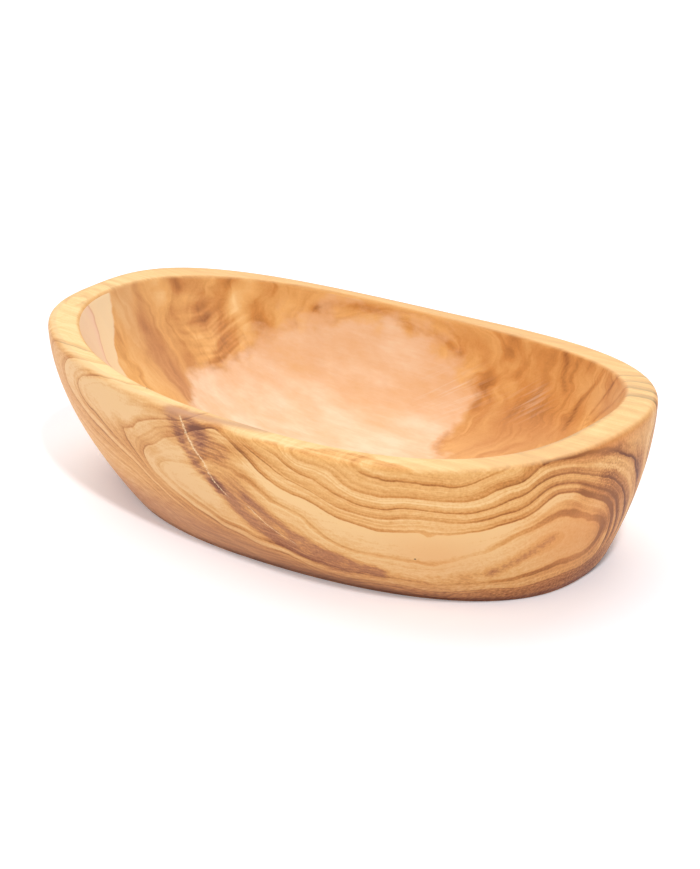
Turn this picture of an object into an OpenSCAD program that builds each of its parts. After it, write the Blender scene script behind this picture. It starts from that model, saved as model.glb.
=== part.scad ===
// Oval serving dish, carved from one billet of olive wood.
// Millimetres. +Z is up, +X points to the blunt stern end, -X to the raked bow end.
// The origin lies on the table plane, under the middle of the rim.

/* [Rim] */
// Length of the dish over the rim, bow to stern
rim_length = 160; // [120:1:240]
// Width of the dish over the rim at mid-length
rim_width = 94; // [70:1:140]
// Height of the rim above the table at mid-length
rim_height = 35.6; // [24:0.2:60]
// How much higher the rim stands at the two ends than at mid-length
sheer_rise = 3.6; // [0:0.2:8]
// Widening of the plan towards the stern, as a share of the half width
rim_taper = 0.135; // [0:0.005:0.3]
// Fullness of the rim curve at the bow, 2 is an ellipse
rim_full_bow = 2.8; // [2:0.05:3.5]
// Fullness of the rim curve at the stern, 2 is an ellipse
rim_full_stern = 2.3; // [2:0.05:3.5]

/* [Rim land] */
// Width of the flat top of the rim at the bow end
land_bow = 6.4; // [4:0.2:12]
// Width of the flat top of the rim at the stern end
land_stern = 9.0; // [4:0.2:12]
// Width of the flat top of the rim along the two long sides
land_side = 5.4; // [4:0.2:10]
// How much higher the inner edge of the land stands than the outer edge
land_rise = 0.4; // [0:0.1:1.5]
// Size of the eased outer edge of the rim
outer_ease = 2.0; // [0.6:0.2:3]
// Size of the eased inner edge of the rim
inner_ease = 1.0; // [0.6:0.2:3]

/* [Hull] */
// Overhang of the rim beyond the foot at the bow end
bow_overhang = 21.2; // [12:0.2:32]
// Overhang of the rim beyond the foot at the stern end
stern_overhang = 9.8; // [5:0.2:18]
// Overhang of the rim beyond the foot along the two long sides
side_overhang = 8.6; // [5:0.1:16]
// Widening of the foot towards the stern, as a share of its half width
foot_taper = -0.06; // [-0.2:0.01:0.2]
// Fullness of the foot curve at the bow, 2 is an ellipse
foot_full_bow = 2.0; // [1.7:0.05:3]
// Fullness of the foot curve at the stern, 2 is an ellipse
foot_full_stern = 2.4; // [1.7:0.05:3]
// Belly of the hull at the bow, 1 is a straight flare
belly_bow = 2.05; // [1.2:0.05:3]
// Belly of the hull at the stern, 1 is a straight flare
belly_stern = 1.85; // [1.2:0.05:3]
// Size of the eased lower edge where the hull meets the foot
foot_ease = 2.4; // [1:0.2:4]

/* [Hollow] */
// Widening of the opening towards the stern, as a share of its half width
open_taper = 0.06; // [0:0.005:0.3]
// Fullness of the opening at the bow, 2 is an ellipse
open_full_bow = 2.25; // [1.8:0.05:3.5]
// Fullness of the opening at the stern, 2 is an ellipse
open_full_stern = 2.75; // [1.8:0.05:3.5]
// Thickness of the wood under the lowest point of the hollow
floor_thickness = 9; // [5:0.5:16]
// Squareness of the hollow at the bow, a higher value gives a steeper wall
hollow_bow = 3.6; // [2.4:0.1:7]
// Squareness of the hollow at the stern, a higher value gives a steeper wall
hollow_stern = 4.6; // [2.4:0.1:7]

/* [Hidden] */

wood_color = [0.80, 0.58, 0.33];

// Points around each ring and rings in each zone of the section
ring_points = 112;
foot_rings = 5;
wall_rings = 12;
edge_rings = 5;
hollow_rings = 14;

half_length = rim_length / 2;
half_width = rim_width / 2;
foot_half_length = (rim_length - bow_overhang - stern_overhang) / 2;
foot_half_width = half_width - side_overhang;
foot_shift = (bow_overhang - stern_overhang) / 2;
open_half_length = (rim_length - land_bow - land_stern) / 2;
open_half_width = half_width - land_side;
open_shift = (land_bow - land_stern) / 2;
// The eased edges never use more than this share of the rim land
ease_share = 0.45;

// Value that passes from the bow to the stern with the cosine of the angle
function bow_to_stern(bow, stern, a) = (stern + bow) / 2 + (stern - bow) / 2 * cos(a);

// Radius of a superellipse of power n at the angle a
function reach(a, n) = pow(pow(abs(cos(a)), n) + pow(abs(sin(a)), n), -1 / n);

// Point of a tapered superellipse in plan
function oval(a, hl, hw, taper, n) =
    let (u = reach(a, n) * cos(a), v = reach(a, n) * sin(a))
    [hl * u, hw * v * (1 + taper * u)];

function rim_at(a) =
    oval(a, half_length, half_width, rim_taper, bow_to_stern(rim_full_bow, rim_full_stern, a));
function open_at(a) =
    oval(a, open_half_length, open_half_width, open_taper, bow_to_stern(open_full_bow, open_full_stern, a))
    + [open_shift, 0];
function foot_at(a) =
    oval(a, foot_half_length, foot_half_width, foot_taper, bow_to_stern(foot_full_bow, foot_full_stern, a))
    + [foot_shift, 0];

// Height of the rim over the length of the dish
function sheer_at(x) = rim_height + sheer_rise * pow(x / half_length, 2);

// Top of the rim at the share s of the way from its outer to its inner edge
function land_at(a, s) =
    let (r = rim_at(a), p = r + (open_at(a) - r) * s)
    [p[0], p[1], sheer_at(p[0]) + land_rise * s];

// Share of the land that an eased edge of a given size uses
function land_share(a, size) = min(size / norm(open_at(a) - rim_at(a)), ease_share);

// Depth of the hollow below the inner edge of the rim
function hollow_depth(a) = sheer_at(open_at(a)[0]) + land_rise - floor_thickness;

// Hull wall at the share t of the rim height
function wall_at(a, t) =
    let (f = foot_at(a), r = rim_at(a))
    let (g = 1 - pow(1 - t, bow_to_stern(belly_bow, belly_stern, a)), p = f + (r - f) * g)
    [p[0], p[1], t * sheer_at(r[0])];

// Hollow at the share k of the way from its middle to the edge of the opening
function hollow_at(a, k) =
    let (o = open_at(a), c = [open_shift, 0], p = c + (o - c) * k)
    [p[0], p[1], floor_thickness + hollow_depth(a) * pow(k, bow_to_stern(hollow_bow, hollow_stern, a))];

// Curve that leaves p towards the corner c and arrives at q from it
function eased(p, c, q, s) = p * pow(1 - s, 2) + c * 2 * s * (1 - s) + q * pow(s, 2);

function ring_angle(i) = 360 * i / ring_points;

function foot_ring(s) = [
    for (i = [0 : ring_points - 1])
        let (a = ring_angle(i), f = foot_at(a), c = [foot_shift, 0])
        let (in = f - (f - c) / norm(f - c) * foot_ease)
        eased([in[0], in[1], -foot_ease], [f[0], f[1], 0], wall_at(a, foot_ease / rim_height), s)
];

function wall_ring(t) = [
    for (i = [0 : ring_points - 1])
        let (a = ring_angle(i), low = foot_ease / rim_height)
        let (high = 1 - outer_ease / sheer_at(rim_at(a)[0]))
        wall_at(a, low + (high - low) * t)
];

function outer_edge_ring(s) = [
    for (i = [0 : ring_points - 1])
        let (a = ring_angle(i), high = 1 - outer_ease / sheer_at(rim_at(a)[0]))
        eased(wall_at(a, high), land_at(a, 0), land_at(a, land_share(a, outer_ease)), s)
];

function inner_edge_ring(s) = [
    for (i = [0 : ring_points - 1])
        let (a = ring_angle(i))
        eased(land_at(a, 1 - land_share(a, inner_ease)), land_at(a, 1), hollow_at(a, lip_share(a)), s)
];

// Share of the hollow at which its eased upper edge ends
function lip_share(a) =
    pow(1 - inner_ease / hollow_depth(a), 1 / bow_to_stern(hollow_bow, hollow_stern, a));

function hollow_ring(s) = [
    for (i = [0 : ring_points - 1])
        let (a = ring_angle(i))
        hollow_at(a, lip_share(a) * cos(90 * s))
];

// All rings of the section, from under the foot over the rim to the floor of the hollow
rings = concat(
    [for (j = [0 : foot_rings]) foot_ring(j / foot_rings)],
    [for (j = [1 : wall_rings]) wall_ring(j / wall_rings)],
    [for (j = [1 : edge_rings]) outer_edge_ring(j / edge_rings)],
    [for (j = [0 : edge_rings]) inner_edge_ring(j / edge_rings)],
    [for (j = [1 : hollow_rings - 1]) hollow_ring(j / hollow_rings)]
);
ring_count = len(rings);
foot_centre = ring_count * ring_points;
floor_centre = foot_centre + 1;

skin_points = concat(
    [for (ring = rings) each ring],
    [[foot_shift, 0, -foot_ease], [open_shift, 0, floor_thickness]]
);

function next_point(i) = (i + 1) % ring_points;

skin_faces = concat(
    [for (i = [0 : ring_points - 1]) [foot_centre, i, next_point(i)]],
    [
        for (j = [0 : ring_count - 2])
            for (i = [0 : ring_points - 1])
                let (low = j * ring_points, high = low + ring_points)
                each [
                    [low + i, high + i, high + next_point(i)],
                    [low + i, high + next_point(i), low + next_point(i)]
                ]
    ],
    [
        for (i = [0 : ring_points - 1])
            let (last = (ring_count - 1) * ring_points)
            [floor_centre, last + next_point(i), last + i]
    ]
);

// The whole dish: hull, rim and hollow are one carved piece, sawn flat under the foot
module dish() {
    color(wood_color)
    difference() {
        polyhedron(points = skin_points, faces = skin_faces, convexity = 6);
        translate([0, 0, -foot_ease])
            cube([rim_length, rim_width, 2 * foot_ease], center = true);
    }
}

dish();
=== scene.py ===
import bpy
import numpy as np
from mathutils import Matrix, Vector


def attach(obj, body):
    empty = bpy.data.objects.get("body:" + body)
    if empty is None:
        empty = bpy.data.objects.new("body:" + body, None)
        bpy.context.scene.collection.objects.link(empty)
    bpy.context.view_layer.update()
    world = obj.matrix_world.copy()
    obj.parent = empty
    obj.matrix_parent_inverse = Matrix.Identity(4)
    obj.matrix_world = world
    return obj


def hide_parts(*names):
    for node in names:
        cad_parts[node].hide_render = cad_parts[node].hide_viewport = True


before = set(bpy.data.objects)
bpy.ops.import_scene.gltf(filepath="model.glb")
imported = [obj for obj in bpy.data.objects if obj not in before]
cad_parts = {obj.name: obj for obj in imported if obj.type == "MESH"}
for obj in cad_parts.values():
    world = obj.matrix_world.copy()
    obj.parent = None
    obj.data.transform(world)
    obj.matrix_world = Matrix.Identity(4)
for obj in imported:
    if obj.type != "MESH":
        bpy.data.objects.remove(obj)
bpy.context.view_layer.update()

# The dish: one billet of olive wood, sawn to length, carved to an egg-shaped hull,
# scooped out inside, sanded and rubbed with oil. Hull, rim, hollow and foot are one
# unbroken surface, so one skin is drawn over the whole of it. Sizes are in millimetres.
MM = 0.001
rim_length, rim_width = 160.0, 94.0
rim_height, sheer_rise = 35.6, 3.6
rim_taper, rim_full_bow, rim_full_stern = 0.135, 2.8, 2.3
land_bow, land_stern, land_side, land_rise = 6.4, 9.0, 5.4, 0.4
outer_ease, inner_ease, foot_ease = 2.0, 1.0, 2.4
bow_overhang, stern_overhang, side_overhang = 21.2, 9.8, 8.6
foot_taper, foot_full_bow, foot_full_stern = -0.06, 2.0, 2.4
belly_bow, belly_stern = 2.05, 1.85
open_taper, open_full_bow, open_full_stern = 0.06, 2.25, 2.75
floor_thickness = 9.0
hollow_bow, hollow_stern = 3.6, 4.6
foot_middle = np.array([(bow_overhang - stern_overhang) / 2, 0.0])
open_middle = np.array([(land_bow - land_stern) / 2, 0.0])


def bow_to_stern(bow, stern, angle):
    """Half the sum of the two values plus half their difference times the cosine of the angle, so the
    bow's at 180 degrees and the stern's at 0."""
    return (stern + bow) / 2 + (stern - bow) / 2 * np.cos(angle)


def oval(angle, half_length, half_width, taper, fullness):
    """Tapered superellipse: the radius is (|cos|^n + |sin|^n)^(-1/n), and the width grows
    by the share taper from the middle to the stern."""
    c, s = np.cos(angle), np.sin(angle)
    reach = (np.abs(c) ** fullness + np.abs(s) ** fullness) ** (-1 / fullness)
    return np.stack([half_length * reach * c, half_width * reach * s * (1 + taper * reach * c)], -1)


def rim_plan(angle):
    """Outer edge of the rim in plan."""
    return oval(angle, rim_length / 2, rim_width / 2, rim_taper,
                bow_to_stern(rim_full_bow, rim_full_stern, angle))


def open_plan(angle):
    """Inner edge of the rim in plan, moved by half the difference of the two end lands."""
    half_length, half_width = (rim_length - land_bow - land_stern) / 2, rim_width / 2 - land_side
    fullness = bow_to_stern(open_full_bow, open_full_stern, angle)
    return open_middle + oval(angle, half_length, half_width, open_taper, fullness)


def foot_plan(angle):
    """Edge of the foot in plan, moved by half the difference of the two overhangs."""
    half_length, half_width = (rim_length - bow_overhang - stern_overhang) / 2, rim_width / 2 - side_overhang
    fullness = bow_to_stern(foot_full_bow, foot_full_stern, angle)
    return foot_middle + oval(angle, half_length, half_width, foot_taper, fullness)


def sheer(x):
    """Height of the rim: lowest at mid-length, rising with the square of the distance from it."""
    return rim_height + sheer_rise * (x / (rim_length / 2)) ** 2


def land_at(angle, share):
    """Top of the rim at a share of the way from its outer to its inner edge: the rim's height
    plus the land's rise times the share."""
    outer, inner = rim_plan(angle), open_plan(angle)
    plan = outer + (inner - outer) * share[..., None]
    return np.concatenate([plan, (sheer(plan[..., 0]) + land_rise * share)[..., None]], -1)


def land_share(angle, size):
    """Share of the land that an eased edge of a given size uses, 0.45 at most."""
    return np.minimum(size / np.linalg.norm(open_plan(angle) - rim_plan(angle), axis=-1), 0.45)


def hollow_depth(angle):
    """Depth of the hollow below the inner edge of the rim."""
    return sheer(open_plan(angle)[..., 0]) + land_rise - floor_thickness


def hull_wall(angle, share):
    """Outside of the hull at a share of its height: the plan goes from the foot to the rim by
    1 - (1 - share)^belly, so the flare is widest low down and steep at the rim."""
    foot, rim = foot_plan(angle), rim_plan(angle)
    flare = 1 - (1 - share) ** bow_to_stern(belly_bow, belly_stern, angle)
    return np.concatenate([foot + (rim - foot) * flare[..., None],
                           (share * sheer(rim[..., 0]))[..., None]], -1)


def hollow_wall(angle, share):
    """Inside of the dish at a share of the way from its middle to the rim: the height is the
    floor's plus the depth times share^squareness."""
    plan = open_middle + (open_plan(angle) - open_middle) * share[..., None]
    rise = hollow_depth(angle) * share ** bow_to_stern(hollow_bow, hollow_stern, angle)
    return np.concatenate([plan, (floor_thickness + rise)[..., None]], -1)


def eased(start, corner, end, share):
    """Quadratic curve that leaves start towards the corner and arrives at end from it."""
    s = share[..., None]
    return start * (1 - s) ** 2 + corner * 2 * s * (1 - s) + end * s ** 2


around = 512
angle = np.arange(around) * 2 * np.pi / around


def rows(first, last, count, zone):
    """Rows of the section: zone(angle, share) for count shares from first to last."""
    share, turn = np.meshgrid(np.linspace(first, last, count), angle, indexing="ij")
    return zone(turn, share)


def foot_edge(turn, share):
    """Eased lower edge, from the sawn plane of the foot up to the hull. The plane cuts the
    curve at the share 1 / (1 + sqrt(rim / lowest rim))."""
    foot, rim = foot_plan(turn), rim_plan(turn)
    cut = 1 / (1 + np.sqrt(sheer(rim[..., 0]) / rim_height))
    outward = (foot - foot_middle) / np.linalg.norm(foot - foot_middle, axis=-1, keepdims=True)
    depth = np.full(share.shape + (1,), -foot_ease)
    start = np.concatenate([foot - outward * foot_ease, depth], -1)
    corner = np.concatenate([foot, depth * 0], -1)
    end = hull_wall(turn, np.full(share.shape, foot_ease / rim_height))
    return eased(start, corner, end, cut + (1 - cut) * share)


def foot_flat(turn, share):
    """Sawn underside: straight lines from the middle of the foot to its eased edge."""
    edge = foot_edge(turn, share * 0)
    middle = np.append(foot_middle, 0.0)
    return middle + (edge - middle) * share[..., None]


def hull(turn, share):
    """Outside of the hull between its two eased edges."""
    low, high = foot_ease / rim_height, 1 - outer_ease / sheer(rim_plan(turn)[..., 0])
    return hull_wall(turn, low + (high - low) * share)


def outer_edge(turn, share):
    """Eased outer edge of the rim."""
    high = 1 - outer_ease / sheer(rim_plan(turn)[..., 0])
    corner, end = land_at(turn, share * 0), land_at(turn, land_share(turn, outer_ease))
    return eased(hull_wall(turn, high), corner, end, share)


def rim_land(turn, share):
    """Flat top of the rim between its two eased edges."""
    first, last = land_share(turn, outer_ease), 1 - land_share(turn, inner_ease)
    return land_at(turn, first + (last - first) * share)


def lip_share(turn):
    """Share of the hollow at which its eased upper edge ends."""
    return (1 - inner_ease / hollow_depth(turn)) ** (1 / bow_to_stern(hollow_bow, hollow_stern, turn))


def inner_edge(turn, share):
    """Eased inner edge of the rim."""
    return eased(land_at(turn, 1 - land_share(turn, inner_ease)), land_at(turn, share * 0 + 1),
                 hollow_wall(turn, lip_share(turn)), share)


def hollow(turn, share):
    """Scooped hollow from its lip to near its middle, the rows spaced by a cosine."""
    return hollow_wall(turn, lip_share(turn) * np.cos(np.pi / 2 * share))


flat_rows, ease_rows, wall_rows, edge_rows, land_rows, lip_rows, hollow_rows = 12, 8, 62, 9, 10, 6, 65
grid = np.concatenate([
    rows(0.08, 0.92, flat_rows, foot_flat), rows(0, 0.88, ease_rows, foot_edge), rows(0, 1, wall_rows, hull),
    rows(0.11, 1, edge_rows, outer_edge), rows(0.1, 0.9, land_rows, rim_land),
    rows(0, 1, lip_rows, inner_edge), rows(0.016, 0.97, hollow_rows, hollow)])
row_count = len(grid)
edge_start = flat_rows + ease_rows + wall_rows
land_start = edge_start + edge_rows
lip_start = land_start + land_rows


def along_rows(values):
    """Change from column to column round the dish, half of the step over two columns."""
    return (np.roll(values, -1, 1) - np.roll(values, 1, 1)) / 2


# Scraper marks in the hollow: waves square to the wall, strongest on the bow's side, fading at the lip
# and on the floor
scraper_length, scraper_depth = 3.4, 0.03
square_off = np.cross(along_rows(grid), np.gradient(grid, axis=0))
square_off /= np.linalg.norm(square_off, axis=-1, keepdims=True)
down_steps = np.linalg.norm(np.diff(grid[lip_start:], axis=0), axis=-1)
down_grid = np.concatenate([np.zeros((lip_start + 1, around)), down_steps.cumsum(0)])
scraped = np.clip((down_grid - 3) / 4, 0, 1) * np.clip((38 - down_grid) / 10, 0, 1)
scraped *= 0.35 + 0.65 * np.exp(-((np.degrees(angle) - 152) / 22) ** 2)
wave_count = down_grid / scraper_length + 0.8 * np.sin(5 * angle) + 0.5 * np.sin(11 * angle + 1)
grid = grid + (scraper_depth * scraped * np.sin(2 * np.pi * wave_count))[..., None] * square_off

skin_points = np.concatenate([grid.reshape(-1, 3), [[*foot_middle, 0.0], [*open_middle, floor_thickness]]])
low, column = np.meshgrid(np.arange(row_count - 1) * around, np.arange(around), indexing="ij")
high, following = low + around, (column + 1) % around
quads = np.stack([low + column, low + following, high + following, high + column], -1).reshape(-1, 4)
first, after = np.arange(around), (np.arange(around) + 1) % around
last = (row_count - 1) * around
foot_fan = np.stack([np.full(around, row_count * around), after, first], -1)
floor_fan = np.stack([np.full(around, row_count * around + 1), last + first, last + after], -1)

skin_mesh = bpy.data.meshes.new("dish_skin")
skin_mesh.from_pydata(skin_points * MM, [], quads.tolist() + foot_fan.tolist() + floor_fan.tolist())
skin_mesh.polygons.foreach_set("use_smooth", np.ones(len(skin_mesh.polygons), dtype=bool))

# Growth layers of the billet. The heart of the branch runs just under the near side of the
# hull, so its layers come out there as nested loops, and lie nearly flat towards the far side.
# Each line gives degrees round the dish and percent of the hull's height.
layer_thickness = 6.5
heart_line = [(268, 66), (272, 56), (274, 48), (277, 40), (281, 32), (286, 25), (292, 21), (300, 20),
              (310, 20.5), (319, 23), (326, 30), (333, 40), (338, 47)]
growth_lines = {
    1: [(255.5, 59.5), (258, 63.5), (261, 64.5), (263.5, 66.5), (266, 72), (269.5, 74), (274, 72),
        (276.5, 69), (278.5, 67.5), (281.5, 61), (286, 55), (288.5, 47), (290, 42), (292, 39), (295, 34.5),
        (300, 33), (306.5, 32), (311.5, 30.5), (314.5, 35), (318, 38.5), (322, 42.5), (325.5, 47.5),
        (328.5, 51.5), (332.5, 57), (337, 60.5), (342, 61), (345.5, 58.5), (349.5, 52.5), (355, 46.5),
        (358.5, 41), (359, 37), (357, 32), (353.5, 26.5), (344, 24.5), (333, 21.5), (325.5, 17.5),
        (310, 14), (295, 15), (285, 17.5), (275, 23), (266, 28.5), (260, 38), (255, 47), (253.5, 53)],
    2: [(269.5, 100), (272, 98), (274, 94.5), (275, 90), (277.5, 87.5), (279, 79), (281, 75.5), (284, 70.5),
        (288, 69), (290, 67.5), (292.5, 61.5), (296.5, 58.5), (298.5, 56), (304, 55), (308, 55.5),
        (314.5, 55.5), (318, 57), (321, 58), (324.5, 63), (330, 66), (333.5, 68), (335, 72), (337, 75.5),
        (339, 79), (344.5, 75.5), (347, 71), (349.5, 67), (354.5, 62.5), (359, 53.5), (361.5, 46.5),
        (363.5, 31), (362, 16), (354, 13.5), (343, 13), (330, 10), (310, 8), (295, 9.5), (283, 12.5),
        (273, 17), (265, 23.5), (259, 30), (255, 37), (251.5, 45), (250.5, 50), (250.5, 55), (251.5, 61),
        (254, 67.5), (256.5, 75), (259, 80), (262, 86.5), (264, 91.5), (266, 96.5)],
    3: [(272.5, 100), (274.5, 97), (276.5, 94), (279, 88.5), (282, 86), (283, 81), (285.5, 79),
        (288.5, 75.5), (292, 69.5), (294.5, 68), (299.5, 66), (305, 65.5), (309.5, 68), (314, 66),
        (319, 65.5), (324, 66.5), (328.5, 69), (331, 71.5), (333, 76), (335.5, 79.5), (339.5, 81),
        (343, 80), (345.5, 77), (348.5, 72), (354.5, 66), (359, 58.5), (362.5, 50.5), (364.5, 43),
        (366.5, 28.5), (366, 17), (360, 10), (345, 8.5), (325, 6.5), (300, 6), (283, 9), (272, 14.5),
        (264, 21.5), (258, 29), (253.5, 37), (250, 45.5), (247.5, 54), (246.5, 60), (248.5, 71),
        (250.5, 78), (253, 84.5), (255.5, 88.5), (258.5, 92), (261, 93.5), (263.5, 95.5), (267, 100)],
    4: [(278, 99), (280.5, 96.5), (284.5, 94), (286, 88.5), (290.5, 85), (292, 81), (295.5, 75),
        (298.5, 70.5), (303, 69.5), (310, 72), (314, 71), (319, 70), (321.5, 72), (324, 75), (327.5, 79.5),
        (331, 82), (332.5, 85), (334.5, 88), (338.5, 88.5), (344.5, 85), (350.5, 80), (356, 74.5),
        (361.5, 65), (365.5, 56), (368.5, 45.5), (371.5, 34), (371, 18), (362, 6), (345, 4.5), (325, 3.5),
        (300, 3.5), (282, 6.5), (270, 12.5), (262.5, 19.5), (256.5, 28.5), (252, 37.5), (249, 46),
        (247, 53), (241.5, 61.5), (237, 70.5), (234, 76), (233.5, 81), (234.5, 86.5), (237, 93.5),
        (240.5, 98)],
    5: [(286, 95.5), (291, 94.5), (294, 92), (295.5, 88.5), (296.5, 84.5), (300, 82), (305, 81), (310, 81),
        (315, 80), (320, 80.5), (322.5, 82.5), (324, 86.5), (327, 87.5), (331, 89), (332, 93), (334, 97.5),
        (340.5, 97), (344, 97), (348, 96), (352.5, 94), (356, 92.5), (361, 86.5), (365.5, 81), (370, 70),
        (372.5, 61), (376, 45), (376, 25), (280, 4), (269, 9.5), (261.5, 17), (255.5, 26.5), (251, 36),
        (247.5, 45), (242, 53), (236, 61), (230, 72), (228, 82), (229, 90), (232, 98.5)],
    6: [(300, 93.5), (306, 92), (310, 91.5), (315.5, 89.5), (320, 92), (326, 97), (377, 72), (381, 55),
        (245, 43), (238, 51), (230, 61), (223, 73), (221, 85), (223, 97)],
}
# The same lines where they cross the rim: degrees round the dish and share of the way to the hollow
rim_lines = {
    4: [(242, 0.02), (243.75, 0.16), (245.75, 0.4), (248, 0.64), (250.5, 0.94)],
    5: [(233, 0.02), (234.25, 0.24), (236.25, 0.54), (237, 0.71)],
    6: [(225, 0.02), (227.25, 0.18), (228, 0.56), (230.25, 0.86), (24.5, 0.95), (24.75, 0.75),
        (24.25, 0.35), (22.5, 0.02)],
    7: [(196.75, 0.06), (196.75, 0.45), (196.75, 0.9), (32, 0.95), (31.75, 0.8), (29.75, 0.6), (28.75, 0.3),
        (27.25, 0.03)],
    8: [(179.75, 0.15), (178.25, 0.58), (179.25, 0.98), (35.75, 0.95), (35.5, 0.6), (33.75, 0.3),
        (33.75, 0.04)],
    9: [(39.75, 0.9), (39.75, 0.5), (38, 0.05)],
    10: [(48, 0.5), (47, 0.03)],
}


def on_hull(line):
    """Points of the hull for pairs of degrees round the dish and percent of its height."""
    pair = np.array(line, float)
    return hull_wall(np.radians(pair[:, 0]), pair[:, 1] / 100)


def on_land(line):
    """Points of the rim's top for pairs of degrees round the dish and share of the way across it."""
    pair = np.array(line, float)
    return land_at(np.radians(pair[:, 0]), pair[:, 1])


def in_hollow(line):
    """Points of the hollow for pairs of degrees round the dish and millimetres down from its lip,
    measured along the wall."""
    pair = np.array(line, float)
    turn = np.radians(pair[:, 0])
    share, turns = np.meshgrid(np.linspace(1, 0.02, 200), turn, indexing="ij")
    steps = np.linalg.norm(np.diff(hollow_wall(turns, share), axis=0), axis=-1)
    down = np.concatenate([np.zeros((1, len(turn))), steps.cumsum(0)])
    return hollow_wall(turn, share[np.abs(down - pair[:, 1]).argmin(0), 0])


def finer(line, steps):
    """The same line with straight steps between its points."""
    count = len(line)
    place = np.linspace(0, count - 1, (count - 1) * steps + 1)
    return np.stack([np.interp(place, np.arange(count), line[:, i]) for i in range(line.shape[1])], -1)


def distances(points, marks):
    """Distance of every point from every mark, by |p|^2 + |m|^2 - 2 p.m."""
    square = (points ** 2).sum(-1)[:, None] + (marks ** 2).sum(-1)[None] - 2 * points @ marks.T
    return np.sqrt(np.maximum(square, 0))


heart = finer(on_hull(heart_line), 8)
traced = np.concatenate([on_hull(line) for line in growth_lines.values()]
                        + [on_land(line) for line in rim_lines.values()] + [on_hull(heart_line)])
traced_age = np.concatenate([np.full(len(line), float(age)) for lines in (growth_lines, rim_lines)
                             for age, line in lines.items()] + [np.full(len(heart_line), 0.25)])


def plain_age(points):
    """Number of layers out from the heart: the distance from it over the thickness of a layer,
    rounded off within 2 mm of the heart."""
    return np.sqrt(distances(points, heart).min(1) ** 2 + 2.0 ** 2) / layer_thickness


def pull(distance):
    """How strongly a traced line bends the layers near it: (1 + d/9) exp(-d/9), d in mm."""
    return (1 + distance / 9.0) * np.exp(-distance / 9.0)


def smooth(value, low, high):
    """0 up to low, 1 past high, and 3 s^2 - 2 s^3 between them. It falls where low is above high."""
    s = np.clip((value - low) / (high - low), 0, 1)
    return s * s * (3 - 2 * s)


def within(value, start, full, fade, end):
    """0 up to start, 1 from full to fade and 0 past end, with smooth steps between them."""
    return smooth(value, start, full) * smooth(value, end, fade)


def peak(value, middle, reach, power=2):
    """1 at the middle, falling off by exp(-(off / reach)^power)."""
    return np.exp(-((value - middle) / reach) ** power)


# Place of every point of the skin: its row, degrees round the dish, percent of the hull's height,
# millimetres down from the lip of the hollow along its wall, and share of the way across the rim
row_of_point = np.append(np.repeat(np.arange(row_count), around), [0, row_count - 1])
above_foot = smooth(row_of_point, 10, 18)
degrees = np.degrees(np.append(np.tile(angle, row_count), [0, 0]))
near_degrees = np.where(degrees < 90, degrees + 360, degrees)
height = np.clip(skin_points[:, 2] / sheer(skin_points[:, 0]), 0, 1) * 100
depth = np.append(down_grid, [0, down_grid[-1].mean()])
outside = (row_of_point < land_start).astype(float)
inside = np.clip((row_of_point - lip_start - 1) / 3, 0, 1)
land = np.clip((row_of_point - edge_start - 2) / 4, 0, 1) * (1 - inside)
land_way = open_plan(np.radians(degrees)) - rim_plan(np.radians(degrees))
land_width = np.linalg.norm(land_way, axis=-1)
across = ((skin_points[:, :2] - rim_plan(np.radians(degrees))) * land_way).sum(-1) / land_width ** 2


def blot(turn, percent, turn_reach, percent_reach):
    """Soft spot on the hull, a peak in degrees times a peak in percent."""
    return outside * peak(near_degrees, turn, turn_reach) * peak(height, percent, percent_reach)


def dab(turn, deep, turn_reach, deep_reach):
    """Soft spot in the hollow, a peak in degrees times a peak in millimetres down."""
    return peak(degrees, turn, turn_reach) * peak(depth, deep, deep_reach)


def streaks(where, lines):
    """Sum of soft lines, given as strength, width in mm and points: the strength on the line, falling
    off by exp(-(distance / width)^2) away from it."""
    return sum(strength * peak(distances(skin_points, finer(where(line), 12)).min(1), 0, width)
               for strength, width, line in lines)


# The layers are bent to follow the traced lines, with a little slack
slack = 0.02 * np.eye(len(traced))
bend = np.linalg.solve(pull(distances(traced, traced)) + slack, traced_age - plain_age(traced))
from_traced = distances(skin_points, traced)
# A small bud under the bark leaves a notch in the second line
age = np.maximum(plain_age(skin_points) + pull(from_traced) @ bend + 0.15 * blot(311, 54, 1.1, 4), 0.3)

# Spacing of the layers on the surface, in millimetres: one over the slope of the age, from the
# changes of place and age along the two ways of the grid
age_grid = age[:-2].reshape(row_count, around)
round_step, up_step = along_rows(grid), np.gradient(grid, axis=0)
round_age, up_age = along_rows(age_grid), np.gradient(age_grid, axis=0)
rr, uu, ru = (round_step ** 2).sum(-1), (up_step ** 2).sum(-1), (round_step * up_step).sum(-1)
slope_square = uu * round_age ** 2 - 2 * ru * round_age * up_age + rr * up_age ** 2
slope_square = slope_square / np.maximum(rr * uu - ru ** 2, 1e-9)
spacing = np.clip(1 / np.sqrt(np.maximum(slope_square, 1e-6)), 0.8, 12.0)

# Low on the hull the layers are cut at a flat angle and run together into brown streaks. The lines
# also pale towards the bow, and on the rim they show only at the two ends.
low_top = np.interp(near_degrees, [180, 225, 250, 268, 285, 300, 330, 350, 366, 440],
                    [24, 34, 38, 32, 20, 19, 22, 30, 34, 24])
low_band = outside * smooth(height, low_top, 0.25 * low_top) * above_foot
# Painted contact shadow: the lowest 5 to 9 percent of the hull's height, taller on the near side, is darkened
# where the dish meets the table
painted_foot_shadow = smooth(height, 5 + 4 * peak(near_degrees, 281, 20), 1.5) * smooth(row_of_point, 10, 14)
bow_quiet = smooth(near_degrees, 256, 232) * smooth(height, 60, 35)
near_edge = smooth(height, 90, 97) * within(near_degrees, 268, 274, 327, 333)
stern_lines = within(near_degrees, 326, 342, 372, 390)
middle_lines = within(near_degrees, 281, 293, 324, 338)
bow_lines = smooth(near_degrees, 244, 228)
low_lines = smooth(near_degrees, 264, 252) * smooth(height, 78, 55)
knot_lines = peak(near_degrees, 281, 8) * smooth(height, 45, 70)
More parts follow.
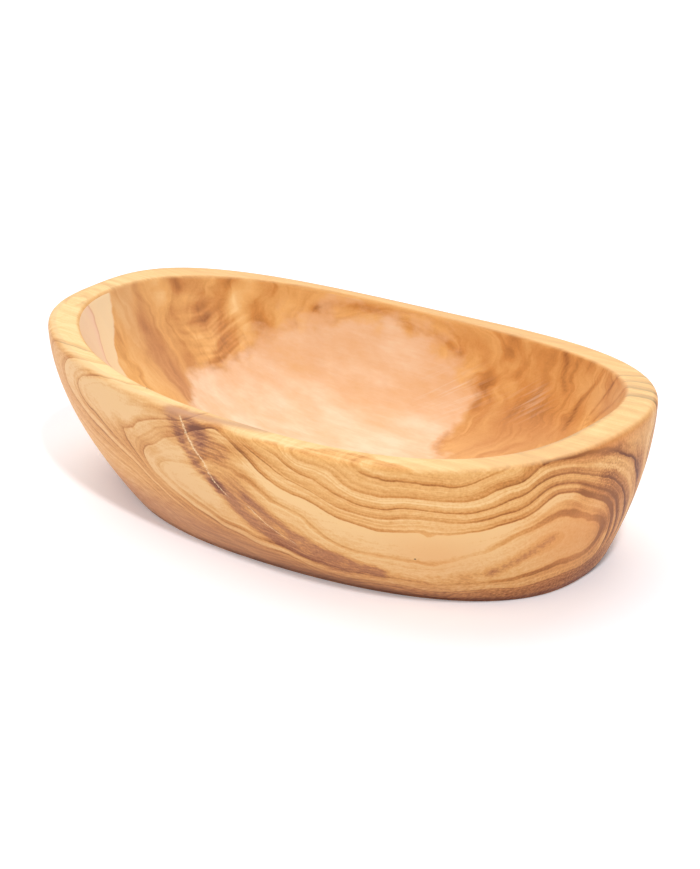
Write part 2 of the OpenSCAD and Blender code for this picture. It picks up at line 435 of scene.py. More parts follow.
inner_lines = smooth(near_degrees, 316, 334) * (age < 1.45)
hull_lines = (1 - 0.95 * smooth(low_band, 0, 0.6)) * (1 - 0.75 * bow_quiet) * (1 - 0.85 * near_edge)
hull_lines = hull_lines * (1 - 0.25 * low_lines) * (1 + 0.5 * knot_lines)
hull_lines = hull_lines * (1 - 0.3 * middle_lines) * (1 - 0.5 * bow_lines)
hull_lines = hull_lines * (1 - 0.1 * stern_lines + inner_lines)
rim_stern = peak(near_degrees, 391, 13, 4)
land_lines = 0.1 + 1.6 * rim_stern + 0.9 * peak(near_degrees, 236, 18, 4)
land_lines = land_lines + 0.6 * peak(near_degrees, 188, 16, 4)

# The rim's paleness, partly its paler wood and partly a painted highlight on its top: millimetres in from its
# outer border, which leaves the rim's edge beside the knot
pale_border = np.interp(
    near_degrees, [90, 200, 254, 261, 266, 270, 275, 283, 287, 292, 297, 301, 305, 308, 312, 440],
    [-0.4, -0.4, -0.2, 0.5, 0.75, 0.6, 0.1, 0.28, 0.22, 0.6, 0.83, 0.8, 0.55, 0.2, -0.3, -0.4])
rim_pale = np.where(row_of_point < edge_start, -9, np.clip((across - pale_border) * land_width, -9, 9))
pale_share = land * smooth(rim_pale, -0.8, 0.8)

# Darker and paler areas of the hull: tan towards the bow, beside the knot and under the stern's rim, pale
# inside the bow's loop. Each has its strength, degrees and percent, and its reach in both.
hull_blots = [
    (0.04, 236, 30, 14, 25), (0.25, 260, 81, 3.5, 6), (0.25, 254, 64, 3.5, 6), (0.3, 274.5, 88, 3.5, 8),
    (0.22, 268, 89, 6, 6), (-0.2, 366, 90, 8, 12), (-0.13, 312, 62, 26, 30), (-0.1, 318, 38, 18, 12),
    (-0.1, 284, 72, 6, 12), (0.45, 359, 45, 6, 25), (0.3, 347, 67, 5, 8), (0.2, 347, 92, 5, 4),
    (0.2, 371, 55, 4, 20), (0.2, 332, 64, 6, 5), (0.12, 345, 16, 15, 8), (0.2, 273, 68, 7, 9),
    (0.08, 358, 80, 9, 22), (0.05, 315, 93, 18, 8), (-0.05, 284, 84, 8, 10), (-0.34, 244, 84, 9, 14),
    (-0.34, 259, 56, 6, 13), (-0.16, 265, 44, 4, 8), (-0.15, 236, 88, 12, 10), (-0.12, 250, 92, 10, 8),
    (-0.12, 243, 76, 6, 8),
]
hull_streaks = [
    (0.4, 0.8, [(335, 98), (343, 97), (347, 96.5), (352, 94), (359, 92)]),
    (0.3, 0.8, [(352, 93), (359.5, 88), (364.5, 81), (369, 73), (373, 60)]),
    (0.2, 0.8, [(352.5, 77.5), (358, 69), (364, 58), (369, 45), (371, 33)]),
    (0.3, 1.0, [(346, 75), (348, 70), (352, 67), (356.5, 61), (360, 51), (362, 35)]),
]
hull_shade = sum(strength * blot(*where) for strength, *where in hull_blots) + streaks(on_hull, hull_streaks)
# Brown streaks in the low band, and the painted contact shadow along the foot
hull_shade = hull_shade + 0.34 * low_band + 0.45 * painted_foot_shadow
# Brown walls in the hollow, with dark and pale streaks that run down them. Their darkness round the hollow
# and in the dabs is partly the brown wood and partly painted shade.
hollow_dabs = [(0.25, 56, 20, 12, 9), (0.15, 80, 5, 7, 5), (0.15, 55, 2.6, 7, 4), (0.06, 149, 8, 7, 7),
               (0.15, 129, 2, 12, 5), (-0.1, 171, 3.7, 6, 6)]
hollow_streaks = [
    (0.22, 1.2, [(82.5, 8), (86, 6), (91, 5), (96, 3.6), (102, 2.8), (108, 2.4), (114, 3), (118, 5)]),
    (0.26, 2.6, [(134, 8), (133.5, 10.5), (132, 13)]),
    (0.25, 2.0, [(116, 5), (119, 6)]),
    (0.16, 1.5, [(137, 0), (139, 2.5), (142, 7.5), (144, 14.5), (148, 21), (154, 26.5)]),
    (0.22, 1.6, [(154, 0.5), (153.5, 3)]),
    (0.24, 2.4, [(149, 9), (148.5, 13)]),
    (0.18, 0.9, [(123, 10), (128, 13), (132, 16.5), (137, 19), (143, 23), (149, 27), (157, 28)]),
    (0.18, 1.5, [(168, 1), (171, 7), (174, 12.5)]),
    (0.2, 2.2, [(174, 11), (172, 15), (175, 22.5), (175, 30), (180, 36.5)]),
    (0.24, 1.0, [(59, 0), (57, 3.5), (56, 7), (53, 10)]),
    (0.14, 0.9, [(54.5, 0), (54.5, 3.5), (53.5, 7)]),
    (0.16, 2.0, [(72, 1.5), (71, 4.5)]),
    (0.18, 2.2, [(75, 9), (73, 12.5), (74, 16), (73, 20)]),
    (0.26, 0.6, [(46, 0), (46, 5), (47, 11), (44, 18.5)]),
    (0.3, 0.5, [(40, 1), (40, 6), (40, 12.5), (38, 14.5)]),
    (0.3, 0.5, [(32, 0.5), (33, 5.5), (36, 10.5), (36, 13)]),
    (0.16, 0.9, [(74, 26), (72, 30.5), (70, 35), (63, 40)]),
    (0.16, 1.6, [(66.5, 6.5), (66, 10)]),
    (-0.22, 2.2, [(139.5, 5), (138.5, 8), (137, 13)]),
    (-0.12, 2.5, [(179, 5), (179, 10)]),
    (-0.14, 2.0, [(153, 17), (151, 20)]),
    (-0.12, 1.4, [(71, 7.5), (71, 10)]),
    (-0.12, 2.0, [(153, 6), (150, 6.5)]),
    (-0.12, 1.5, [(147, 13.5), (147, 16)]),
    (-0.12, 2.0, [(133, 0), (133.5, 3)]),
    (-0.15, 2.4, [(160, 1), (159, 6)]),
]
# Darkness of the walls by degrees round the hollow: the brown wood with painted shade in it
wall_shade = np.interp(
    degrees, [15, 30, 50, 70, 85, 105, 125, 140, 158, 176, 200, 240, 300],
    [0.27, 0.3, 0.33, 0.34, 0.26, 0.24, 0.26, 0.31, 0.36, 0.26, 0.2, 0.25, 0.25], period=360)
wall_shade = wall_shade + sum(strength * dab(*where) for strength, *where in hollow_dabs)
wall_shade = wall_shade + streaks(in_hollow, hollow_streaks)
rim_smudge = peak(near_degrees, 334, 22)
rim_shade = 0.06 - 0.1 * peak(near_degrees, 243, 14) + 0.26 * rim_smudge + 0.5 * peak(degrees, 100, 60)
rim_shade = rim_shade + 0.6 * smooth(across, 0.75, 0.95) * peak(near_degrees, 352, 20, 4)

# Dark heartwood: two purple-brown strands down from the knot, and a speckled one to the right of them
strands = [
    (0.9, 2.0, [(268, 58), (271, 47), (273.5, 38), (276.5, 31), (280.5, 26), (286, 22), (293, 20),
                (300, 19)]),
    (0.55, 1.6, [(275, 56), (278.5, 47), (282, 40), (285.5, 34), (289, 28), (293.5, 23.5), (299, 21)]),
    (0.62, 4.2, [(272.5, 56), (276.5, 44), (281, 34), (286, 27), (292, 21.5)]),
    (0.3, 1.6, [(299, 18.5), (308, 17.5), (318, 21)]),
    (0.25, 1.8, [(318, 21), (323, 25)]),
    (0.62, 1.5, [(324, 25.5), (328.5, 32), (333, 38), (336.5, 43), (338.75, 45.5)]),
]
knot_streaks = [
    (0.85, 3.0, [(265, 93), (266.5, 90), (266, 84)]),
    (0.3, 3.5, [(270, 90), (271, 82), (270, 74)]),
    (0.75, 1.7, [(260, 95), (261.5, 86), (262.5, 77), (264.5, 68), (266.5, 61), (268.5, 55)]),
]
# The knot's dust is smeared along the rim
smear = [(0.75, 1.6, [(259, 0.1), (263, 0.3), (267, 0.45), (271, 0.6), (275, 0.8), (280, 0.97)])]

# Points outside the hollow count as far away from the borders in it
far_away = 99 * (1 - inside)
# Pale patch in the hollow: millimetres inside its border, which is softer towards the stern, at the left and
# on the near side
patch_line = np.array([
    (62, 40.5), (70, 35), (72, 30.5), (74, 26), (73, 21.5), (75, 17.5), (79, 14), (81, 10.5), (85, 8),
    (89.5, 6), (95.5, 5), (102.5, 4), (109.5, 4), (115, 5.5), (119, 7), (123, 9), (128, 12), (132, 15.5),
    (137, 18), (143, 22), (149, 26), (157, 27), (165, 26.5), (170, 31), (177, 36), (183, 39.5),
    (200, 42), (230, 38), (255, 30), (275, 26), (295, 30), (320, 42)])
patch_middle = np.array([-14.0, 6.0])
patch_out = in_hollow(patch_line)[:, :2] - patch_middle
skin_out = skin_points[:, :2] - patch_middle
compass = np.linspace(-np.pi, np.pi, 720, endpoint=False)
patch_reach = np.interp(compass, np.arctan2(patch_out[:, 1], patch_out[:, 0]),
                        np.linalg.norm(patch_out, axis=-1), period=2 * np.pi)
patch_reach = sum(np.roll(patch_reach, k) for k in range(-6, 7)) / 13
reach_here = np.interp(np.arctan2(skin_out[:, 1], skin_out[:, 0]), compass, patch_reach, period=2 * np.pi)
border_soft = 1.8 + 1.6 * peak(degrees, 66, 18) + 1.2 * peak(degrees, 128, 16) + 3.0 * peak(degrees, 265, 55)
patch = (reach_here - np.linalg.norm(skin_out, axis=-1)) / border_soft
# It turns from tan to cream towards the floor, and sooner at the far side
cream = (depth + 18 * peak(degrees, 102, 14) * smooth(depth, 24, 12)) / 48
# Sanding strokes beside the patch run from the first of these points to the second, and the third lies
# beside them
stroke_start, stroke_end, beside = (Vector(point) for point in in_hollow([(89, 20.5), (79, 12.3), (79, 22)]))
stroke_way = (stroke_end - stroke_start).normalized()
stroke_side = stroke_way.cross(beside - stroke_start).normalized().cross(stroke_way)
stroke_turn = Matrix((stroke_side, stroke_way, stroke_side.cross(stroke_way))).transposed().to_euler()

# Pale wood at the bow's wall: degrees past its border, and past the line between its cream and pink parts
pale_from = np.interp(depth, [0, 4.5, 7.5, 11, 14, 17, 19.5, 35], [180, 183, 186, 190.5, 196, 201, 203, 222])
pale_end = np.minimum((232 - 0.3 * depth - degrees) / 6, (32 - depth) / 6)
pink_from = np.interp(depth, [0, 1, 4.5, 8.5, 11.5, 13.5], [196.5, 196, 196.5, 200.5, 205, 209.5])

# A hair crack runs from the knot down the side in two lengths, given as percent and degrees. Its numbers
# are the millimetres off it, divided by how much wider it is drawn, and its strength.
crack_upper = np.array([(49, 271), (53, 269.8), (55, 269.2), (59, 268), (64, 267), (72, 266.2), (78.5, 265),
                        (85, 264), (91, 263.2), (98, 262.2)])
crack_lower = np.array([(28, 283.6), (34, 280), (39.5, 277.6), (46, 275.5), (51.6, 273.6)])
crack_break, mm_per_degree = 49.8, 1.35
crack_degrees = np.where(height > crack_break, np.interp(height, *crack_upper.T),
                         np.interp(height, *crack_lower.T))
crack_widening = 1.2 + 0.5 * smooth(height, 50, 85)

# Arches of the hollow's figure about its far side, which run down the walls to the left and right of it
arch_middle, arch_top = 100, 12
off_arch = (degrees - arch_middle + 180) % 360 - 180
arch = np.sqrt(off_arch ** 2 + (1.5 * np.maximum(arch_top - depth, 0)) ** 2)

# One number for each point of the skin under each of these names, for the material
skin_numbers = {
    "age": age,
    "wild": 1 - peak(from_traced.min(1), 0, 16.0),
    # The lines are half as wide again at the stern
    "spacing": (np.append(spacing, [spacing[0].mean(), spacing[-1].mean()])
                * (1 - 0.35 * stern_lines * outside)),
    "inside": inside,
    "land": land,
    "rim_pale": rim_pale,
    "low_band": low_band,
    "line_strength": hull_lines * (1 - pale_share) + land_lines * pale_share,
    "shade": hull_shade + inside * wall_shade + pale_share * rim_shade,
    # Purple-brown tint: in the stern's lines, low on the hull, in the painted contact shadow at the foot, on
    # the bow's wall of the hollow and on the rim
    "plum": np.clip(0.35 * outside * stern_lines + 0.4 * low_band + 0.4 * painted_foot_shadow
                    + 0.35 * inside * within(degrees, 135, 160, 195, 215)
                    + land * (0.8 * rim_stern + 0.5 * rim_smudge), 0, 1),
    "speckle": blot(356, 80, 5, 13),
    "amber": (0.5 * blot(358, 97, 16, 6) + 0.6 * blot(346, 45, 16, 30) + 0.3 * blot(312, 40, 10, 18)
              + land * (0.45 * peak(degrees, 98, 72, 4) + 0.4 * rim_smudge)),
    # Greyer colour: low on the hull towards the bow it is painted light thrown up from the white table;
    # elsewhere it is greyer wood, on the bow's side, in the hollow's two ends, and smeared from the knot
    # along the rim
    "greyed": (0.5 * low_band * smooth(near_degrees, 345, 290) + streaks(on_land, smear)
               + 0.2 * outside * smooth(near_degrees, 285, 255) * above_foot
               + inside * (0.35 * peak(degrees, 176, 11) + 0.5 * peak(degrees, 32, 11) * smooth(depth, 16, 8)
                           + 0.25 * peak(degrees, 50, 25) * smooth(depth, 14, 24))),
    "stain": np.clip(streaks(on_hull, strands), 0, 1),
    "knot": np.clip((1 - 0.85 * land) * streaks(on_hull, knot_streaks), 0, 1),
    "depth": depth,
    "arch": arch - 0.2 * np.maximum(depth - arch_top, 0),
    "arch_side": 1.5 * np.sin(np.radians(off_arch)),
    "threads": 0.1 + 0.5 * peak(degrees, 41, 15) * smooth(depth, 30, 20),
    "patch": patch * inside - far_away,
    "cream": np.minimum(cream, 0.75),
    # On the wall to the left of the patch, thin lines follow its border
    "off_patch": depth - np.interp(degrees, *patch_line.T),
    "contours": peak(degrees, 146, 11) * within(depth, 7, 13, 25, 30),
    "sanded": inside * (dab(80, 19, 8, 6) + 0.7 * dab(60, 16, 5, 5)),
    "bow_pale": np.minimum(degrees - pale_from, pale_end) - far_away,
    "bow_pink": degrees - pink_from,
    "crack_side": (degrees - crack_degrees) * mm_per_degree / crack_widening,
    "crack_strength": (outside * within(height, 27, 30, 97.5, 99)
                       * smooth(np.abs(height - crack_break), 0.4, 1.0)),
}
for name, values in skin_numbers.items():
    skin_mesh.attributes.new(name, "FLOAT", "POINT").data.foreach_set("value", values.astype(np.float32))
skin = bpy.data.objects.new("dish_skin", skin_mesh)
bpy.context.scene.collection.objects.link(skin)


def linear(code):
    """Linear colour of an sRGB hex code: c/12.92 for dark values, else ((c+0.055)/1.055)^2.4."""
    c = np.array([int(code[i:i + 2], 16) for i in (1, 3, 5)]) / 255
    return (*np.where(c <= 0.04045, c / 12.92, ((c + 0.055) / 1.055) ** 2.4), 1.0)


def add_node(tree, kind, inputs=(), stops=(), output=0, **settings):
    """Adds one shader node with its settings, its values and links, in order or by name, and the stops
    of its ramp, the two ends first, and gives one of its outputs."""
    made = tree.nodes.new("ShaderNode" + kind)
    for name, value in settings.items():
        setattr(made, name, value)
    for socket, value in inputs.items() if isinstance(inputs, dict) else enumerate(inputs):
        if isinstance(value, bpy.types.NodeSocket):
            tree.links.new(value, made.inputs[socket])
        else:
            made.inputs[socket].default_value = value
    for i, (place, colour) in enumerate(stops):
        element = made.color_ramp.elements[i] if i < 2 else made.color_ramp.elements.new(place)
        element.position = place
        element.color = (colour,) * 3 + (1.0,) if isinstance(colour, float) else linear(colour)
    return made.outputs[output]


# Oiled olive wood: dense and fine-pored, pale honey sapwood with brown growth lines, sharp on
# the inner side and fading outwards. Sanding and oil give it a satin sheen.
wood = bpy.data.materials.new("oiled_olive_wood")
wood.use_nodes = True
tree = wood.node_tree
shader = tree.nodes["Principled BSDF"]
place = add_node(tree, "TexCoord", output="Object")
marks = {name: add_node(tree, "Attribute", output="Fac", attribute_name=name) for name in skin_numbers}


def grain(where, size, detail=2.0, roughness=0.5, distortion=0.0, turn=(0.0, 0.0, 0.0), unit=MM):
    """Noise about zero, drawn out over the given lengths along X, Y and Z: the noise at the place
    divided by the lengths, less a half."""
    scaled = add_node(tree, "Mapping", {"Vector": where, "Rotation": turn, "Scale": Vector(size) * unit},
                      vector_type="TEXTURE")
    noise = add_node(tree, "TexNoise", {"Vector": scaled, "Scale": 1.0, "Detail": detail,
                                        "Roughness": roughness, "Distortion": distortion})
    return add_node(tree, "Math", [noise, 0.5], operation="SUBTRACT")


# The layers sway over 40 mm along the branch and 14 mm across it, more where no line was traced, and
# ripple over 6 mm
sway = grain(place, (40, 14, 14))
sway_size = add_node(tree, "MapRange", [marks["wild"], 0.0, 1.0, 0.15, 1.6])
layer = add_node(tree, "Math", [sway, sway_size, marks["age"]], operation="MULTIPLY_ADD")
ripple = grain(place, (6, 5, 5))
layer = add_node(tree, "Math", [ripple, 0.28, layer], operation="MULTIPLY_ADD")

# Each layer starts with a sharp brown line 0.4 mm wide and a tan band that fades over 3 mm. The ramp
# runs from 1 mm inside the line to 4 mm outside it. The lines come and go over 22 mm.
nearest = add_node(tree, "Math", [layer], operation="ROUND")
nearest = add_node(tree, "Math", [nearest, 1.0], operation="MAXIMUM")
past = add_node(tree, "Math", [layer, nearest], operation="SUBTRACT")
past_mm = add_node(tree, "Math", [past, marks["spacing"]], operation="MULTIPLY")
past_share = add_node(tree, "MapRange", [past_mm, -1.0, 4.0])
line = add_node(tree, "ValToRGB", [past_share], stops=[
    (0.0, 0.0), (1.0, 0.0), (0.165, 0.02), (0.195, 0.5), (0.235, 0.58), (0.29, 0.32), (0.45, 0.2),
    (0.75, 0.05)])
# The first line round the heart is a soft tan band 1.5 mm wide
band = add_node(tree, "ValToRGB", [past_share], stops=[
    (0.0, 0.0), (1.0, 0.0), (0.03, 0.02), (0.1, 0.22), (0.28, 0.3), (0.34, 0.12), (0.6, 0.03)])
is_first = add_node(tree, "Math", [nearest, 1.5], operation="LESS_THAN")
line = add_node(tree, "Mix", {"Factor": is_first, "A": line, "B": band}, data_type="RGBA", output="Result")
fade = add_node(tree, "MapRange", [grain(place, (22, 12, 12), detail=1.0), -0.18, 0.18, 0.4, 1.25])
line = add_node(tree, "Math", [line, fade], operation="MULTIPLY")
# Tone of the first eight layers, as they show on the near side
zone = add_node(tree, "Math", [layer, 8.0], operation="DIVIDE")
zone = add_node(tree, "ValToRGB", [zone], stops=[
    (0.0, 0.22), (1.0, 0.12), (0.1, 0.14), (0.13, 0.12), (0.17, 0.03), (0.245, 0.0), (0.26, 0.22),
    (0.37, 0.24), (0.47, 0.3), (0.58, 0.15), (0.62, 0.15), (0.64, 0.28), (0.75, 0.26)])
hull_tone = add_node(tree, "Math", [line, marks["line_strength"], zone], operation="MULTIPLY_ADD")
# Fine layering inside a year: uneven, about 1.2 mm apart, drawn out over 60 mm along the branch
along = add_node(tree, "SeparateXYZ", [place])
fine_place = add_node(tree, "CombineXYZ", [along, layer])
fine_place = add_node(tree, "Mapping", {"Vector": fine_place, "Scale": (60 * MM, 0.18, 1.0)},
                      vector_type="TEXTURE")
fine = add_node(tree, "TexNoise", {"Vector": fine_place, "Scale": 1.0, "Detail": 3.0, "Roughness": 0.6},
                noise_dimensions="2D")
fine = add_node(tree, "MapRange", [fine, 0.3, 0.7, -0.1, 0.14], clamp=False)
hull_tone = add_node(tree, "Math", [hull_tone, fine], operation="ADD")
# The rim is paler, partly its wood and partly a painted highlight on its top, with a ragged outer border
ragged = grain(place, (6, 4, 4), detail=4.0)
rim_side = add_node(tree, "Math", [ragged, 4.0, marks["rim_pale"]], operation="MULTIPLY_ADD")
rim_share = add_node(tree, "MapRange", [rim_side, -0.9, 0.9], interpolation_type="SMOOTHSTEP")
rim_share = add_node(tree, "Math", [rim_share, marks["land"]], operation="MULTIPLY")
hull_tone = add_node(tree, "Math", [rim_share, -0.2, hull_tone], operation="MULTIPLY_ADD")

# In the hollow the figure is wavy: streaks about 5 mm wide and 17 mm long that run down the walls,
# with threads of about 1.3 mm in them, and lines 2 mm apart beside the patch
arch = add_node(tree, "Math", [sway, 16.0, marks["arch"]], operation="MULTIPLY_ADD")
arch = add_node(tree, "Math", [ripple, 6.0, arch], operation="MULTIPLY_ADD")
arch_place = add_node(tree, "CombineXYZ", [arch, marks["depth"], marks["arch_side"]])
wave = grain(arch_place, (5, 17, 1), detail=3.0, distortion=0.8, unit=1)
wave = add_node(tree, "MapRange", [wave, -0.2, 0.2, -0.12, 0.16], clamp=False)
thread = add_node(tree, "MapRange", [grain(arch_place, (1.3, 40, 1), unit=1), 0.0, 0.25, 0.0, 0.4])
wall_tone = add_node(tree, "Math", [thread, marks["threads"], wave], operation="MULTIPLY_ADD")
contour_place = add_node(tree, "CombineXYZ", [arch, marks["off_patch"]])
contour = grain(contour_place, (16, 2, 1), detail=1.0, unit=1)
contour = add_node(tree, "MapRange", [contour, -0.15, 0.15, -0.12, 0.14], clamp=False)
wall_tone = add_node(tree, "Math", [contour, marks["contours"], wall_tone], operation="MULTIPLY_ADD")

# Fibres: 0.6 mm across and 12 mm along the branch, strongest low on the hull. On the end grain near the
# stern they show as specks of 0.5 mm, and along the rim as streaks of 2 mm. All are drawn coarser than
# the real pores, so that they show.
fibre = grain(place, (12, 0.6, 0.6), detail=4.0)
fibre_size = add_node(tree, "MapRange", [marks["low_band"], 0.0, 1.0, 0.35, 1.0])
fibre_size = add_node(tree, "Math", [marks["inside"], -0.3, fibre_size], operation="MULTIPLY_ADD")
rim_grain = add_node(tree, "MapRange", [grain(place, (36, 2, 2)), -0.15, 0.15, -0.12, 0.14], clamp=False)
speck = grain(place, (0.5, 0.5, 0.5))
speck_size = add_node(tree, "MapRange", [marks["speckle"], 0.0, 1.0, 0.3, 1.2])
speck_size = add_node(tree, "Math", [marks["inside"], -0.2, speck_size], operation="MULTIPLY_ADD")
# Heartwood: strands 0.8 mm wide and 10 mm long, which slope down towards the stern. Around the knot the
# fibres are torn.
strand = grain(place, (10, 0.8, 0.8), detail=3.0, turn=(0.0, np.radians(26), 0.0))
near_stain = add_node(tree, "MapRange", [marks["stain"], 0.02, 0.2])
stain = add_node(tree, "Math", [strand, near_stain, marks["stain"]], operation="MULTIPLY_ADD")
stain = add_node(tree, "MapRange", [stain, 0.1, 1.0])
near_knot = add_node(tree, "MapRange", [marks["knot"], 0.02, 0.2, 0.0, 0.9])
torn = add_node(tree, "Math", [ragged, fibre], operation="ADD")
knot = add_node(tree, "Math", [torn, near_knot, marks["knot"]], operation="MULTIPLY_ADD")
knot = add_node(tree, "MapRange", [knot, 0.1, 1.0])

# All of it adds up to one tone, from pale at 0 to dark brown at 1
tone = add_node(tree, "Mix", {"Factor": marks["inside"], "A": hull_tone, "B": wall_tone}, output="Result")
tone = add_node(tree, "Math", [tone, marks["shade"]], operation="ADD")
for part, size, clamped in ((fibre, fibre_size, False), (rim_grain, marks["land"], False),
                            (speck, speck_size, True), (stain, 0.44, False), (knot, 0.55, True)):
    tone = add_node(tree, "Math", [part, size, tone], operation="MULTIPLY_ADD", use_clamp=clamped)
golden = add_node(tree, "ValToRGB", [tone], stops=[
    (0.0, "#FFD598"), (1.0, "#7A4528"), (0.25, "#F1B872"), (0.5, "#D89450"), (0.75, "#A96A36")])
purple = add_node(tree, "ValToRGB", [tone], stops=[
    (0.0, "#FFD598"), (1.0, "#6C3A2E"), (0.25, "#EEB270"), (0.5, "#C4885F"), (0.75, "#975E46")])
plum = add_node(tree, "Math", [marks["plum"], stain], operation="ADD")
plum = add_node(tree, "Math", [plum, knot], operation="ADD", use_clamp=True)
not_knot = add_node(tree, "MapRange", [knot, 0.0, 1.0, 0.5, 0.1])
# Share of the rim's pale colour, partly a painted highlight on its top, less on the knot
lit_pale_land = add_node(tree, "Math", [rim_share, not_knot], operation="MULTIPLY")

# The pale patch: cloudy over 6 to 15 mm, tan at its far side and cream on the floor, with a frayed border
patch_side = add_node(tree, "Math", [ragged, 4.5, marks["patch"]], operation="MULTIPLY_ADD")
patch_share = add_node(tree, "MapRange", [patch_side, -1.0, 1.0, 0.0, 0.9], interpolation_type="SMOOTHSTEP")
cloud = grain(place, (15, 6, 6), detail=6.0, roughness=0.6)
cloud = add_node(tree, "Math", [cloud, 1.8, marks["cream"]], operation="MULTIPLY_ADD")
cloud = add_node(tree, "Math", [fibre, -0.25, cloud], operation="MULTIPLY_ADD")
patch_colour = add_node(tree, "ValToRGB", [cloud], stops=[
    (0.1, "#EEB886"), (1.0, "#FADDBE"), (0.4, "#F1C196"), (0.7, "#F6CDA8")])
# Sanding strokes across the grain, about 0.8 mm apart and 14 mm long, beside the patch
scratch = grain(place, (0.8, 14, 14), turn=stroke_turn)
scratch = add_node(tree, "MapRange", [scratch, 0.0, 0.22, 0.0, 0.36])
scratch = add_node(tree, "Math", [scratch, marks["sanded"]], operation="MULTIPLY")
# Pale wood on the bow's wall: cream, then a thin line, then pink
bow_side = add_node(tree, "Math", [ragged, 5.0, marks["bow_pale"]], operation="MULTIPLY_ADD")
bow_share = add_node(tree, "MapRange", [bow_side, -0.8, 1.2, 0.0, 0.9], interpolation_type="SMOOTHSTEP")
pink = add_node(tree, "Math", [ragged, 2.0, marks["bow_pink"]], operation="MULTIPLY_ADD")
pink = add_node(tree, "MapRange", [pink, -5.0, 5.0])
bow_colour = add_node(tree, "ValToRGB", [pink], stops=[
    (0.0, "#FFE4BA"), (1.0, "#FFE0BE"), (0.42, "#FFE2B8"), (0.5, "#EDBE9A"), (0.6, "#FFDCC0")])
# The crack: a broken thread of pale dust, drawn about 0.6 mm wide so that it shows
crack_off = add_node(tree, "Math", [ragged, 1.7, marks["crack_side"]], operation="MULTIPLY_ADD")
crack_off = add_node(tree, "Math", [speck, 0.7, crack_off], operation="MULTIPLY_ADD")
crack_off = add_node(tree, "Math", [crack_off], operation="ABSOLUTE")
crack = add_node(tree, "MapRange", [crack_off, 0.1, 0.3, 1.0, 0.0])
crack = add_node(tree, "Math", [crack, marks["crack_strength"]], operation="MULTIPLY")
dust = add_node(tree, "MapRange", [speck, -0.08, 0.08, 0.25, 1.0])
crack = add_node(tree, "Math", [crack, dust], operation="MULTIPLY")

# Each colour lies over the ones before it by its share
colours = [(plum, purple), (marks["amber"], linear("#F0A05C")), (lit_pale_land, linear("#FADAA0")),
           (marks["greyed"], linear("#CB9876")), (patch_share, patch_colour), (scratch, linear("#FFF0DC")),
           (bow_share, bow_colour), (crack, linear("#FFE0B0"))]
# A pinhole on the rim and a dark speck on the hull
for spot, radius in ((on_land([(250.25, 0.93)])[0], 0.45), (on_hull([(308, 35.2)])[0], 0.3)):
    off_spot = add_node(tree, "VectorMath", [place, spot * MM], output="Value", operation="DISTANCE")
    hole = add_node(tree, "MapRange", [off_spot, 0.5 * radius * MM, radius * MM, 0.85, 0.0])
    colours.append((hole, linear("#4A2E20")))
colour = golden
for share, over in colours:
    colour = add_node(tree, "Mix", {"Factor": share, "A": colour, "B": over}, data_type="RGBA",
                      output="Result")
tree.links.new(colour, shader.inputs["Base Color"])

# Satin oil: rougher between the fibres. Fibres and pores stand 0.02 mm deep.
rough = add_node(tree, "MapRange", [fibre, -0.2, 0.2, 0.38, 0.52])
tree.links.new(rough, shader.inputs["Roughness"])
relief = add_node(tree, "Math", [speck, 0.5, fibre], operation="MULTIPLY_ADD")
bump = add_node(tree, "Bump", {"Height": relief, "Strength": 0.5, "Distance": 0.04 * MM})
tree.links.new(bump, shader.inputs["Normal"])
shader.inputs["IOR"].default_value = 1.47
shader.inputs["Specular IOR Level"].default_value = 0.15
skin_mesh.materials.append(wood)
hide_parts("dish")
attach(skin, "root")

# The table: a plain white sheet that runs past the picture on every side, matt, so that it mirrors nothing.
table_half = 2.0
corners = [(x * table_half, y * table_half, 0.0) for x, y in ((-1, -1), (1, -1), (1, 1), (-1, 1))]
table_mesh = bpy.data.meshes.new("table")
table_mesh.from_pydata(corners, [], [(0, 1, 2, 3)])
table = bpy.data.objects.new("table", table_mesh)
bpy.context.scene.collection.objects.link(table)
white = bpy.data.materials.new("matt_white_table")
white.use_nodes = True
white_tree = white.node_tree
white_shader = white_tree.nodes["Principled BSDF"]
white_shader.inputs["Base Color"].default_value = linear("#FAF8FD")
white_shader.inputs["Roughness"].default_value = 0.9
white_shader.inputs["Specular IOR Level"].default_value = 0.1
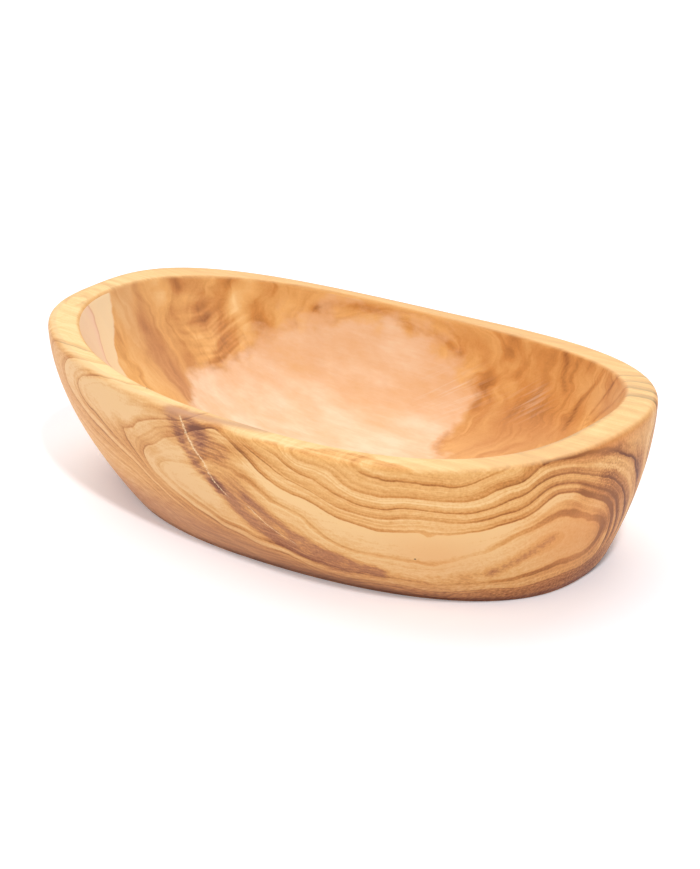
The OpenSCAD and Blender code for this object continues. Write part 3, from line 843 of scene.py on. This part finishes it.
# It looks white beyond the shadow because a share of its brightness is its own, for the eye only
own_share = 0.15
seen = white_tree.nodes.new("ShaderNodeLightPath").outputs
seen_share = add_node(white_tree, "Math", [seen["Is Camera Ray"], seen["Is Glossy Ray"]], operation="ADD")
seen_share = add_node(white_tree, "Math", [seen_share, seen["Is Transmission Ray"]], operation="ADD")
seen_share = add_node(white_tree, "Math", [seen_share, own_share], operation="MULTIPLY")
glow = add_node(white_tree, "Emission", {"Color": (1.0, 1.0, 1.0, 1.0), "Strength": seen_share})
lifted = add_node(white_tree, "AddShader", [white_shader.outputs[0], glow])
white_tree.links.new(lifted, white_tree.nodes["Material Output"].inputs["Surface"])
table_mesh.materials.append(white)

# Soft studio light: a dim white room, a small lamp high on the right of the camera, a broad one high
# behind the dish on the left, and a fill lamp at the left front. Each lamp has the way to it, its
# strength and its spread in degrees.
room = bpy.data.worlds.new("white_room")
room.use_nodes = True
room.node_tree.nodes["Background"].inputs["Color"].default_value = (1.0, 1.0, 1.0, 1.0)
room.node_tree.nodes["Background"].inputs["Strength"].default_value = 0.4
bpy.context.scene.world = room
for lamp_name, lamp_from, strength, spread in (("right_lamp", (0.4, -0.26, 0.88), 1.2, 6),
                                               ("overhead_lamp", (-0.45, 0.45, 1.0), 1.4, 60),
                                               ("front_lamp", (-0.8, -0.8, 0.4), 0.75, 90)):
    lamp_data = bpy.data.lights.new(lamp_name, "SUN")
    lamp_data.energy = strength
    lamp_data.angle = np.radians(spread)
    lamp = bpy.data.objects.new(lamp_name, lamp_data)
    lamp.rotation_euler = Vector(lamp_from).to_track_quat("Z", "Y").to_euler()
    bpy.context.scene.collection.objects.link(lamp)

# The camera stands 0.7 m off, 38 degrees to the right of the near side, and looks down by 23 degrees.
view_azimuth, view_elevation, view_distance = np.radians(37.603), np.radians(22.935), 700.0
aim_right, aim_up = 2.314, 16.522
focal_pixels, long_side_pixels, sensor = 2865.95, 869, 36.0
level = np.cos(view_elevation)
back = Vector((np.sin(view_azimuth) * level, -np.cos(view_azimuth) * level, np.sin(view_elevation)))
right = Vector((np.cos(view_azimuth), np.sin(view_azimuth), 0.0))
up = back.cross(right)
camera_data = bpy.data.cameras.new("camera")
camera_data.sensor_width = sensor
camera_data.lens = focal_pixels * sensor / long_side_pixels
camera = bpy.data.objects.new("camera", camera_data)
turn = Matrix((right, up, back)).transposed().to_4x4()
camera.matrix_world = Matrix.Translation((back * view_distance + right * aim_right + up * aim_up) * MM) @ turn
bpy.context.scene.collection.objects.link(camera)
bpy.context.scene.camera = camera
bpy.context.scene.view_settings.view_transform = "Standard"
